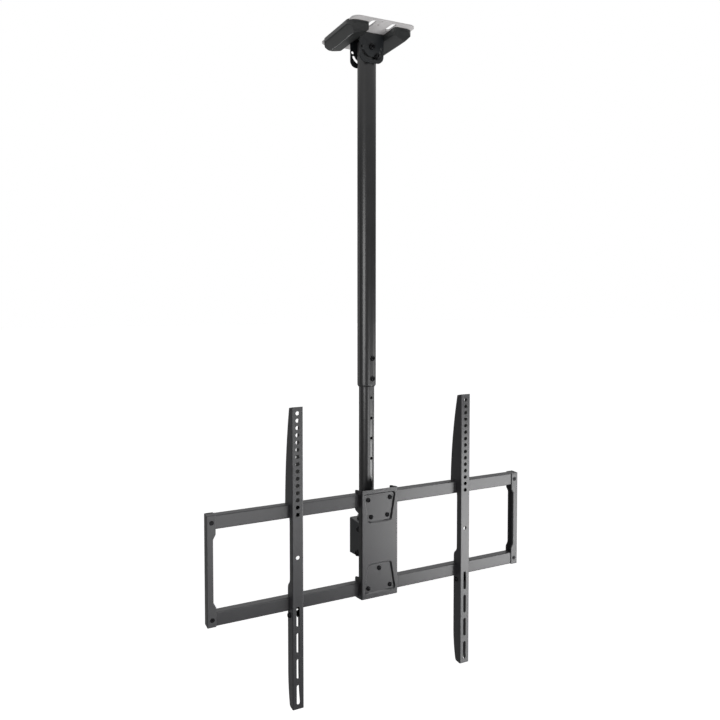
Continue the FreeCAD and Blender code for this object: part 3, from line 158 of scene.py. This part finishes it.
class StudioSettings(bpy.types.PropertyGroup):
    """Camera, lamps and floor."""
    camera_place: bpy.props.FloatVectorProperty(
        name="Camera", description="Place of the camera", subtype="TRANSLATION", unit="LENGTH",
        size=3, default=(-0.6919, -1.3844, -0.5728))
    camera_turn: bpy.props.FloatProperty(
        name="Camera turn", description="How far the camera looks to the right of +Y", subtype="ANGLE",
        default=math.radians(26.05))
    camera_dip: bpy.props.FloatProperty(
        name="Camera dip", description="How far the camera looks below the horizon", subtype="ANGLE",
        default=math.radians(2.25))
    lens: bpy.props.FloatProperty(
        name="Lens", description="Focal length in millimetres on a 36 mm sensor", min=1.0, default=34.5)
    shift_x: bpy.props.FloatProperty(
        name="Shift across", description="Sideways shift of the frame, as a share of its width",
        default=-0.0007)
    shift_y: bpy.props.FloatProperty(
        name="Shift up", description="Vertical shift of the frame, as a share of its width",
        default=-0.0536)
    floor_level: bpy.props.FloatProperty(
        name="Floor", description="Height of the floor, counted from the ceiling", unit="LENGTH",
        default=-3.4)
    ambient: bpy.props.FloatProperty(
        name="Ambient", description="Even light from all round", min=0.0, default=0.13)
    right_box: power_setting("Right softbox", "the long low softbox on the right", 28.0)
    right_fill: power_setting("Right fill", "the dim box far round on the right", 6.0)
    left_box: power_setting("Left softbox", "the upright softbox on the left", 11.0)
    top_box: power_setting("Top softbox", "the softbox above on the right", 9.0)
    foot_light: power_setting("Arm foot light", "the low lamp that shines only on the right arm", 6.0)
    front_box: power_setting("Front softbox", "the softbox in front, low on the right of the camera", 12.0)
    ridge_light: power_setting("Ridge light", "the small lamp that shines only on the left cover", 8.5)
    cover_light: power_setting("Cover light", "the small lamp that shines only on the right cover", 5.5)
    back_box: power_setting("Rear softbox", "the softbox behind on the right", 6.0)
    edge_light: power_setting("Tube edge light", "the rear lamp that shines only on the tubes", 2.5)
    low_box: power_setting("Low bounce", "the bounce from the floor", 9.0)


def feed(tree, socket, value):
    """Link a socket into another, or set its value."""
    if isinstance(value, bpy.types.NodeSocket):
        tree.links.new(value, socket)
    else:
        socket.default_value = value


def add_node(tree, kind, own=None, **inputs):
    """A new shader node. own are the node's own values; inputs are numbers, colours or sockets by name."""
    made = tree.nodes.new(kind)
    for name, value in (own or {}).items():
        setattr(made, name, value)
    for name, value in inputs.items():
        feed(tree, made.inputs[name.replace("_", " ")], value)
    return made


def new_material(name):
    material = bpy.data.materials.new(name)
    material.use_nodes = True
    material.node_tree.nodes.clear()
    return material, material.node_tree


def colour(rgb, gain):
    return (rgb[0] * gain, rgb[1] * gain, rgb[2] * gain, 1.0)


def blend_colours(tree, factor, first, second):
    """A colour between two others."""
    mix = add_node(tree, "ShaderNodeMix", {"data_type": "RGBA"})
    feed(tree, mix.inputs[MIX_FACTOR], factor)
    feed(tree, mix.inputs[MIX_FIRST], first)
    feed(tree, mix.inputs[MIX_SECOND], second)
    return mix.outputs[MIX_RESULT]


def spread(tree, value, source, target=(0.0, 1.0)):
    """A value carried from one range to another, and held inside it."""
    return add_node(tree, "ShaderNodeMapRange", {"clamp": True}, Value=value, From_Min=source[0],
                    From_Max=source[1], To_Min=target[0], To_Max=target[1]).outputs["Result"]


def calculate(tree, operation, first, second):
    made = add_node(tree, "ShaderNodeMath", {"operation": operation})
    feed(tree, made.inputs[0], first)
    feed(tree, made.inputs[1], second)
    return made.outputs[0]


def join_shaders(tree, kind, first, second):
    """Add or mix two shaders, whose sockets come last on the node."""
    made = add_node(tree, kind)
    tree.links.new(first.outputs[0], made.inputs[-2])
    tree.links.new(second.outputs[0], made.inputs[-1])
    return made


def noise(tree, place, scale, detail=2.0, roughness=0.5):
    return add_node(tree, "ShaderNodeTexNoise", Vector=place, Scale=scale, Detail=detail,
                    Roughness=roughness).outputs["Fac"]


def stretched(tree, place, scale):
    """Coordinates drawn out along some of their axes."""
    return add_node(tree, "ShaderNodeMapping", Vector=place, Scale=scale).outputs["Vector"]


def soft_edges(tree, radius):
    """The normal with its edges rounded, and a mask that is 1 on the edges."""
    bevel = add_node(tree, "ShaderNodeBevel", {"samples": BEVEL_SAMPLES}, Radius=radius)
    plain = add_node(tree, "ShaderNodeNewGeometry")
    dot = add_node(tree, "ShaderNodeVectorMath", {"operation": "DOT_PRODUCT"})
    tree.links.new(bevel.outputs["Normal"], dot.inputs[0])
    tree.links.new(plain.outputs["Normal"], dot.inputs[1])
    return bevel.outputs["Normal"], spread(tree, dot.outputs["Value"], EDGE_RANGE)


def start_coat(name, edge):
    """What every coat begins with: its coordinates, its normal with rounded edges and a mask of the edges."""
    material, tree = new_material(name)
    place = add_node(tree, "ShaderNodeTexCoord").outputs["Object"]
    edge_normal, edge_mask = soft_edges(tree, edge)
    return material, tree, place, edge_normal, edge_mask


def grain(tree, height, normal, strength, depth):
    """The fine relief of a coat, laid over its rounded edges."""
    return add_node(tree, "ShaderNodeBump", Strength=strength, Distance=depth, Height=height,
                    Normal=normal).outputs["Normal"]


def finish_shader(tree, base, roughness, normal, metallic=0.0, specular=0.5):
    """The surface itself, joined to the material's output."""
    surface = add_node(tree, "ShaderNodeBsdfPrincipled", Base_Color=base, Roughness=roughness,
                       Normal=normal, Metallic=metallic, Specular_IOR_Level=specular)
    add_node(tree, "ShaderNodeOutputMaterial", Surface=surface.outputs["BSDF"])


def powder_coat(name, rgb, wear, edge, roughness=POWDER_ROUGHNESS):
    """Baked powder: a fine orange-peel grain, cloudy tone, pale specks and edges rubbed a little paler."""
    material, tree, place, edge_normal, edge_mask = start_coat(name, edge)
    cloud = noise(tree, place, scale=9.0, detail=3.0)
    speck = noise(tree, place, scale=900.0, detail=1.0)
    scrape = noise(tree, place, scale=120.0, detail=4.0)
    peel = noise(tree, place, scale=1500.0, detail=2.0, roughness=0.6)
    cloud_range = (0.15, 0.85)

    body = blend_colours(tree, spread(tree, cloud, cloud_range), colour(rgb, 0.93), colour(rgb, 1.07))
    specks = spread(tree, speck, (0.62, 0.75), (0.0, 0.35))
    body = blend_colours(tree, specks, body, colour(rgb, 1.9))
    rubbed = calculate(tree, "MULTIPLY", edge_mask, spread(tree, scrape, (0.42, 0.66), (0.0, wear)))
    body = blend_colours(tree, rubbed, body, colour(rgb, 3.2))
    rough = spread(tree, cloud, cloud_range, (roughness - 0.01, roughness + 0.02))
    polish = calculate(tree, "MULTIPLY", rubbed, 0.12)
    rough = calculate(tree, "SUBTRACT", rough, polish)
    normal = grain(tree, peel, edge_normal, strength=0.05, depth=0.0005)
    finish_shader(tree, body, rough, normal)
    return material


def tube_coat(name, rgb, wear, edge):
    """Smooth coat on drawn tube: faint lines along its length, scuffs from sliding and soft gloss."""
    material, tree, place, edge_normal, edge_mask = start_coat(name, edge)
    cloud = noise(tree, place, scale=22.0, detail=3.0)
    lines = noise(tree, stretched(tree, place, (900.0, 900.0, 5.0)), scale=1.0, detail=3.0)
    scrape = noise(tree, place, scale=160.0, detail=4.0)
    peel = noise(tree, place, scale=650.0, detail=2.0)

    body = blend_colours(tree, spread(tree, cloud, (0.3, 0.7)), colour(rgb, 0.85), colour(rgb, 1.15))
    rubbed = calculate(tree, "MULTIPLY", edge_mask, spread(tree, scrape, (0.40, 0.65), (0.0, wear)))
    streaks = spread(tree, lines, (0.66, 0.80), (0.0, 0.30))
    scuffs = calculate(tree, "MULTIPLY", streaks, spread(tree, cloud, (0.5, 0.7)))
    body = blend_colours(tree, calculate(tree, "MAXIMUM", rubbed, scuffs), body, colour(rgb, 4.0))
    rough = spread(tree, lines, (0.25, 0.75), TUBE_ROUGHNESS)
    normal = grain(tree, peel, edge_normal, strength=0.025, depth=0.0004)
    finish_shader(tree, body, rough, normal, specular=0.8)
    return material


def moulded_plastic(name, rgb, edge, roughness):
    """Injection-moulded plastic: a fine spark-eroded grain, faint flow marks and slightly paler edges."""
    material, tree, place, edge_normal, edge_mask = start_coat(name, edge)
    flow = noise(tree, stretched(tree, place, (18.0, 5.0, 18.0)), scale=1.0, detail=2.0)
    cells = add_node(tree, "ShaderNodeTexVoronoi", Vector=place, Scale=2600.0).outputs["Distance"]
    flow_range = (0.3, 0.7)

    body = blend_colours(tree, spread(tree, flow, flow_range), colour(rgb, 0.93), colour(rgb, 1.07))
    handled = calculate(tree, "MULTIPLY", edge_mask, 0.18)
    body = blend_colours(tree, handled, body, colour(rgb, 2.2))
    rough = spread(tree, flow, flow_range, (roughness - 0.03, roughness + 0.04))
    normal = grain(tree, cells, edge_normal, strength=0.10, depth=0.0003)
    finish_shader(tree, body, rough, normal)
    return material


def pale_coat(name, rgb, edge):
    """Pale satin coat, a little cloudy, with a thin dark line of dust on its edges."""
    material, tree, place, edge_normal, edge_mask = start_coat(name, edge)
    cloud = noise(tree, place, scale=11.0, detail=4.0)
    peel = noise(tree, place, scale=1300.0, detail=2.0)
    cloud_range = (0.3, 0.7)

    body = blend_colours(tree, spread(tree, cloud, cloud_range), colour(rgb, 0.95), colour(rgb, 1.03))
    dust = calculate(tree, "MULTIPLY", edge_mask, 0.25)
    body = blend_colours(tree, dust, body, colour(rgb, 0.72))
    rough = spread(tree, cloud, cloud_range, PLATE_ROUGHNESS)
    normal = grain(tree, peel, edge_normal, strength=0.07, depth=0.0004)
    finish_shader(tree, body, rough, normal)
    return material


def black_steel(name, rgb, edge):
    """Blackened steel: oiled, with paler corners that are partly bare metal that a key or spanner has rubbed
    and partly a painted highlight that draws light rings on the chamfers.
    """
    material, tree, place, edge_normal, edge_mask = start_coat(name, edge * SCREW_EDGE_SHARE)
    cloud = noise(tree, place, scale=240.0, detail=3.0)
    pits = noise(tree, place, scale=2200.0, detail=2.0)
    cloud_range = (0.3, 0.7)

    body = blend_colours(tree, spread(tree, cloud, cloud_range), colour(rgb, 0.8), colour(rgb, 1.25))
    # Paler corners: partly rubbed wear, partly a painted highlight on the chamfers of the screws and nuts.
    rubbed = calculate(tree, "MULTIPLY", edge_mask, spread(tree, cloud, (0.40, 0.60), (0.1, 0.8)))
    body = blend_colours(tree, rubbed, body, colour(rgb, 5.0))
    rough = spread(tree, cloud, cloud_range, STEEL_ROUGHNESS)
    normal = grain(tree, pits, edge_normal, strength=0.05, depth=0.0002)
    finish_shader(tree, body, rough, normal, metallic=0.75, specular=0.15)
    return material


def dress(names, material):
    """Give CAD nodes a material in place of the plain one that they were packed with."""
    for name in names:
        slots = NODES[name].material_slots
        if not slots:
            NODES[name].data.materials.append(material)
        for slot in slots:
            slot.material = material


def clear_selection():
    """Leave nothing selected, because an operator acts on all that is."""
    if bpy.context.object and bpy.context.object.mode != "OBJECT":
        bpy.ops.object.mode_set(mode="OBJECT")
    bpy.ops.object.select_all(action="DESELECT")


def settle(piece, name, body, material):
    """Name a finished piece, put its place into its mesh, give it its finish and let it ride on a body."""
    clear_selection()
    piece.select_set(True)
    bpy.context.view_layer.objects.active = piece
    bpy.ops.object.transform_apply(location=True, rotation=True, scale=True)
    piece.name = name
    piece.data.name = name
    piece.data.materials.clear()
    piece.data.materials.append(material)
    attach(piece, body)


class MOUNT_OT_screen_frame(bpy.types.Operator):
    """Charcoal powder coat on the centre plate and the rails, and a paler one on the end brackets"""
    bl_idname = "mount.screen_frame"
    bl_label = "Coat the screen frame"

    def execute(self, context):
        coats = context.scene.mount_coats
        dress(FRAME_PIECES, powder_coat("frame powder coat", coats.coat_colour, coats.wear, coats.edge))
        dress(END_PIECES, powder_coat("bracket powder coat", coats.end_colour, coats.wear, coats.edge,
                                      roughness=END_ROUGHNESS))
        return {"FINISHED"}


class MOUNT_OT_arms(bpy.types.Operator):
    """Charcoal powder coat on the two screen arms"""
    bl_idname = "mount.arms"
    bl_label = "Coat the arms"

    def execute(self, context):
        coats = context.scene.mount_coats
        dress(ARM_PIECES, powder_coat("arm powder coat", coats.coat_colour, coats.wear, coats.edge))
        return {"FINISHED"}


class MOUNT_OT_head(bpy.types.Operator):
    """Darker coat on the swivel housing, the yoke, the hub and the rail spacers"""
    bl_idname = "mount.head"
    bl_label = "Coat the head"

    def execute(self, context):
        coats = context.scene.mount_coats
        dress(HEAD_PIECES, powder_coat("head powder coat", coats.head_colour, coats.wear, coats.edge))
        return {"FINISHED"}


class MOUNT_OT_pole(bpy.types.Operator):
    """Smooth black coat on the tubes, and nylon for the liner, guide, spacer, saddles and washer"""
    bl_idname = "mount.pole"
    bl_label = "Finish the pole"

    def execute(self, context):
        coats = context.scene.mount_coats
        dress(TUBE_PIECES, tube_coat("tube coat", coats.tube_colour, coats.wear, coats.edge))
        dress(NYLON_PIECES, moulded_plastic("nylon", coats.nylon_colour, coats.edge, NYLON_ROUGHNESS))
        return {"FINISHED"}


class MOUNT_OT_ceiling_end(bpy.types.Operator):
    """Pale coat on the ceiling plate, whose paleness is partly painted light from below, dark coat on its
    bracket and grained plastic for the covers
    """
    bl_idname = "mount.ceiling_end"
    bl_label = "Finish the ceiling end"

    def execute(self, context):
        coats = context.scene.mount_coats
        dress(PLATE_PIECES, pale_coat("plate coat and painted light", coats.plate_colour_and_painted_light, coats.edge))
        dress(BRACKET_PIECES, powder_coat("bracket coat", coats.head_colour, coats.wear, coats.edge))
        dress(COVER_PIECES, moulded_plastic("cover plastic", coats.cover_colour,
                                            coats.edge * COVER_EDGE_SHARE, COVER_ROUGHNESS))
        return {"FINISHED"}


class MOUNT_OT_screws(bpy.types.Operator):
    """Blackened steel on every screw, nut, washer and pin"""
    bl_idname = "mount.screws"
    bl_label = "Finish the screws"

    def execute(self, context):
        coats = context.scene.mount_coats
        dress(SCREW_PIECES, black_steel("blackened steel", coats.screw_colour, coats.edge))
        return {"FINISHED"}


def solid_points(node):
    """The points of each separate solid of a CAD node, found through the edges that they share."""
    mesh = bmesh.new()
    mesh.from_mesh(NODES[node].data)
    bmesh.ops.remove_doubles(mesh, verts=mesh.verts, dist=SAME_POINT)
    waiting = set(mesh.verts)
    solids = []
    while waiting:
        reached = [waiting.pop()]
        points = []
        while reached:
            vertex = reached.pop()
            points.append(vertex.co.copy())
            for edge in vertex.link_edges:
                other = edge.other_vert(vertex)
                if other in waiting:
                    waiting.remove(other)
                    reached.append(other)
        solids.append(points)
    mesh.free()
    return solids


def span(points, axis):
    places = [point[axis] for point in points]
    return min(places), max(places)


def solid_middle(points):
    return Vector([sum(span(points, axis)) / 2.0 for axis in (X, Y, Z)])


def across(offset, axis):
    """How far an offset reaches beside an axis."""
    offset = offset.copy()
    offset[axis] = 0.0
    return offset.length


def bare_tip(screw, nut, axis):
    """Where the thread of a screw stands out of its nut: start, length with its sign, and radius."""
    low, high = span(screw, axis)
    nut_low, nut_high = span(nut, axis)
    centre = solid_middle(screw)
    # The tip stands out less far than the shank on the head's side of the nut
    if high - nut_high < nut_low - low:
        start, tip = nut_high, [point for point in screw if point[axis] > nut_high]
    else:
        start, tip = nut_low, [point for point in screw if point[axis] < nut_low]
    if not tip:
        return None
    reach = [(across(point - centre, axis), point[axis]) for point in tip]
    radius = max(distance for distance, _ in reach)
    straight = [place for distance, place in reach if distance > radius * STRAIGHT_SHARE]
    end = max(straight, key=lambda place: abs(place - start))
    centre[axis] = start
    return centre, end - start, radius


def thread(name, centre, axis, length, radius, pitch, body, material):
    """A thread's ridge on a bare shank: a small diamond carried round the shank by a Screw modifier."""
    turns = int(abs(length) / pitch)
    if turns < 1:
        return
    clear_selection()
    bpy.ops.mesh.primitive_circle_add(vertices=RIDGE_SIDES, radius=pitch * RIDGE_SHARE,
                                      location=(radius, 0.0, 0.0), rotation=(math.pi / 2, 0.0, 0.0))
    ridge = bpy.context.object
    bpy.ops.object.transform_apply(location=True, rotation=True, scale=True)
    screw = ridge.modifiers.new("turns", "SCREW")
    screw.axis = "Z"
    screw.angle = math.tau
    screw.screw_offset = pitch
    screw.iterations = turns
    screw.steps = screw.render_steps = THREAD_STEPS
    bpy.ops.object.modifier_apply(modifier=screw.name)

    bpy.ops.object.mode_set(mode="EDIT")
    bpy.ops.mesh.select_mode(type="EDGE")
    bpy.ops.mesh.select_all(action="DESELECT")
    bpy.ops.mesh.select_non_manifold()
    bpy.ops.mesh.fill_holes(sides=RIDGE_SIDES)
    bpy.ops.mesh.select_all(action="SELECT")
    bpy.ops.mesh.normals_make_consistent(inside=False)
    bpy.ops.object.mode_set(mode="OBJECT")

    direction = Vector((0.0, 0.0, 0.0))
    direction[axis] = math.copysign(1.0, length)
    ridge.rotation_euler = direction.to_track_quat("Z", "Y").to_euler()
    ridge.location = centre
    settle(ridge, name, body, material)


class MOUNT_OT_threads(bpy.types.Operator):
    """Threads on the tips of the screws and of the hub's stud, where they stand out of their nuts"""
    bl_idname = "mount.threads"
    bl_label = "Cut the threads"

    def execute(self, context):
        coats = context.scene.mount_coats
        material = black_steel("thread steel", coats.screw_colour, coats.edge)
        for screw, nut, axis, pitch in THREADS:
            nuts = solid_points(nut)
            screws = sorted(solid_points(screw), key=lambda solid: tuple(solid_middle(solid)))
            for number, points in enumerate(screws):
                middle = solid_middle(points)
                near = min(nuts, key=lambda solid: (solid_middle(solid) - middle).length)
                tip = bare_tip(points, near, axis)
                if tip:
                    centre, length, radius = tip
                    name = "thread_%s_%d" % (screw, number)
                    thread(name, centre, axis, length, radius, pitch, BODY_OF[screw], material)
        return {"FINISHED"}


def choose_lit(lamp, names, state):
    """Let one lamp shine on some pieces only, or keep it off them, as cards and flags do in a studio."""
    chosen = bpy.data.collections.new("pieces of the " + lamp.name)
    lamp.light_linking.receiver_collection = chosen
    for name in names:
        chosen.objects.link(NODES[name])
    for entry in chosen.collection_objects:
        entry.light_linking.link_state = state


def softbox(name, power, place, size, target=MIDDLE, only=(), without=()):
    """A rectangular lamp that faces its target, and that shines on all, on some pieces only or past some."""
    light = bpy.data.lights.new(name, "AREA")
    light.shape = "RECTANGLE"
    light.size, light.size_y = size
    light.energy = power
    lamp = bpy.data.objects.new(name, light)
    bpy.context.scene.collection.objects.link(lamp)
    lamp.location = place
    lamp.rotation_euler = (Vector(target) - Vector(place)).to_track_quat("-Z", "Y").to_euler()
    lamp.visible_camera = False
    if only:
        choose_lit(lamp, only, "INCLUDE")
    if without:
        choose_lit(lamp, without, "EXCLUDE")


def set_lamps(studio):
    """Softboxes round the mount, and lamps that shine only on a cover, the tubes or the right arm."""
    softbox("right softbox", studio.right_box, (1.54, -1.49, -1.69), (1.43, 0.78), without=COVER_PIECES)
    softbox("right fill", studio.right_fill, (2.1, -0.35, -1.3), (1.2, 1.0), target=(0.0, 0.0, -0.9))
    softbox("left softbox", studio.left_box, (-1.62, -0.99, -0.60), (0.85, 0.95),
            target=(0.0, 0.0, -0.6), without=("centre_plate",))
    softbox("top softbox", studio.top_box, (0.7, -0.5, 0.35), (0.8, 0.8),
            without=PLATE_PIECES + BRACKET_PIECES + COVER_PIECES + TUBE_PIECES)
    softbox("arm foot light", studio.foot_light, (1.19, -1.52, -2.32), (0.9, 0.5),
            target=(0.2, -0.06, -1.38), only=("arm_right",))
    softbox("front softbox", studio.front_box, (0.22, -2.42, -1.55), (1.0, 1.05))
    for cover, power in zip(COVER_PIECES, (studio.ridge_light, studio.cover_light)):
        softbox("light of " + cover, power, (-0.22, 1.61, -0.95), (0.2, 0.2),
                target=(0.0, 0.0, -0.02), only=(cover,))
    softbox("rear softbox", studio.back_box, (1.6, 1.5, -1.6), (1.2, 0.7))
    softbox("tube edge light", studio.edge_light, (-1.5, 1.7, -0.8), (0.8, 1.4),
            target=(0.0, 0.0, -0.8), only=TUBE_PIECES)
    softbox("low bounce", studio.low_box, (0.0, 0.3, studio.floor_level + BOUNCE_HEIGHT), (1.6, 1.6),
            target=(0.0, 0.0, -0.1))


def set_camera(studio):
    """Camera at the photograph's angle and framing."""
    camera = bpy.data.cameras.new("camera")
    camera.sensor_width = SENSOR_WIDTH
    camera.lens = studio.lens
    camera.shift_x = studio.shift_x
    camera.shift_y = studio.shift_y
    holder = bpy.data.objects.new("camera", camera)
    bpy.context.scene.collection.objects.link(holder)
    holder.location = studio.camera_place
    holder.rotation_euler = (math.pi / 2 - studio.camera_dip, 0.0, -studio.camera_turn)
    bpy.context.scene.camera = holder


def floor_material():
    """Pale floor that keeps shadows and that the camera sees as the backdrop's white."""
    material, tree = new_material("studio floor")
    place = add_node(tree, "ShaderNodeTexCoord").outputs["Object"]
    path = add_node(tree, "ShaderNodeLightPath")
    paper = blend_colours(tree, noise(tree, place, scale=3.0), colour(WHITE, 0.90), colour(WHITE, 0.94))
    surface = add_node(tree, "ShaderNodeBsdfPrincipled", Base_Color=paper, Roughness=0.8)
    seen = calculate(tree, "MULTIPLY", path.outputs["Is Camera Ray"], FLOOR_GLOW)
    glow = add_node(tree, "ShaderNodeEmission", Color=colour(WHITE, 1.0), Strength=seen)
    both = join_shaders(tree, "ShaderNodeAddShader", surface, glow)
    add_node(tree, "ShaderNodeOutputMaterial", Surface=both.outputs[0])
    return material


def studio_world(ambient):
    """White behind the mount, even light of its own strength on it, and white above it in reflections."""
    world = bpy.data.worlds.new("studio")
    bpy.context.scene.world = world
    world.use_nodes = True
    tree = world.node_tree
    tree.nodes.clear()
    path = add_node(tree, "ShaderNodeLightPath")
    soft = add_node(tree, "ShaderNodeBackground", Color=colour(WHITE, 1.0), Strength=ambient)
    white = add_node(tree, "ShaderNodeBackground", Color=colour(WHITE, 1.0), Strength=1.0)
    direction = add_node(tree, "ShaderNodeTexCoord").outputs["Generated"]
    up = add_node(tree, "ShaderNodeSeparateXYZ", Vector=direction).outputs["Z"]
    above = calculate(tree, "MULTIPLY", spread(tree, up, SKY_RANGE), path.outputs["Is Glossy Ray"])
    choice = join_shaders(tree, "ShaderNodeMixShader", soft, white)
    feed(tree, choice.inputs[0], calculate(tree, "MAXIMUM", above, path.outputs["Is Camera Ray"]))
    add_node(tree, "ShaderNodeOutputWorld", Surface=choice.outputs[0])


class MOUNT_OT_stage(bpy.types.Operator):
    """Camera at the photograph's angle, soft lamps, white world and a pale floor"""
    bl_idname = "mount.stage"
    bl_label = "Set the studio"

    def execute(self, context):
        studio = context.scene.mount_studio
        context.scene.view_settings.view_transform = "Standard"
        set_camera(studio)
        studio_world(studio.ambient)
        set_lamps(studio)
        clear_selection()
        bpy.ops.mesh.primitive_plane_add(size=FLOOR_SIZE, location=(0.0, 0.0, studio.floor_level))
        floor = bpy.context.object
        floor.name = "studio_floor"
        floor.data.materials.append(floor_material())
        return {"FINISHED"}


class MOUNT_PT_panel(bpy.types.Panel):
    """Lists the steps that finish the mount"""
    bl_idname = "MOUNT_PT_panel"
    bl_label = "Ceiling mount"
    bl_space_type = "VIEW_3D"
    bl_region_type = "UI"
    bl_category = "Ceiling mount"

    def draw(self, context):
        layout = self.layout
        for step in STEPS:
            layout.operator(step.bl_idname)
        layout.prop(context.scene.mount_coats, "wear")
        layout.prop(context.scene.mount_studio, "ambient")


STEPS = (MOUNT_OT_screen_frame, MOUNT_OT_arms, MOUNT_OT_head, MOUNT_OT_pole, MOUNT_OT_ceiling_end,
         MOUNT_OT_screws, MOUNT_OT_threads, MOUNT_OT_stage)
CLASSES = (CoatSettings, StudioSettings) + STEPS + (MOUNT_PT_panel,)


def register():
    for cls in CLASSES:
        bpy.utils.register_class(cls)
    bpy.types.Scene.mount_coats = bpy.props.PointerProperty(type=CoatSettings)
    bpy.types.Scene.mount_studio = bpy.props.PointerProperty(type=StudioSettings)


def unregister():
    del bpy.types.Scene.mount_studio
    del bpy.types.Scene.mount_coats
    for cls in reversed(CLASSES):
        bpy.utils.unregister_class(cls)


def main():
    register()
    for step in STEPS:
        group, name = step.bl_idname.split(".")
        getattr(getattr(bpy.ops, group), name)()


if __name__ == "__main__":
    main()
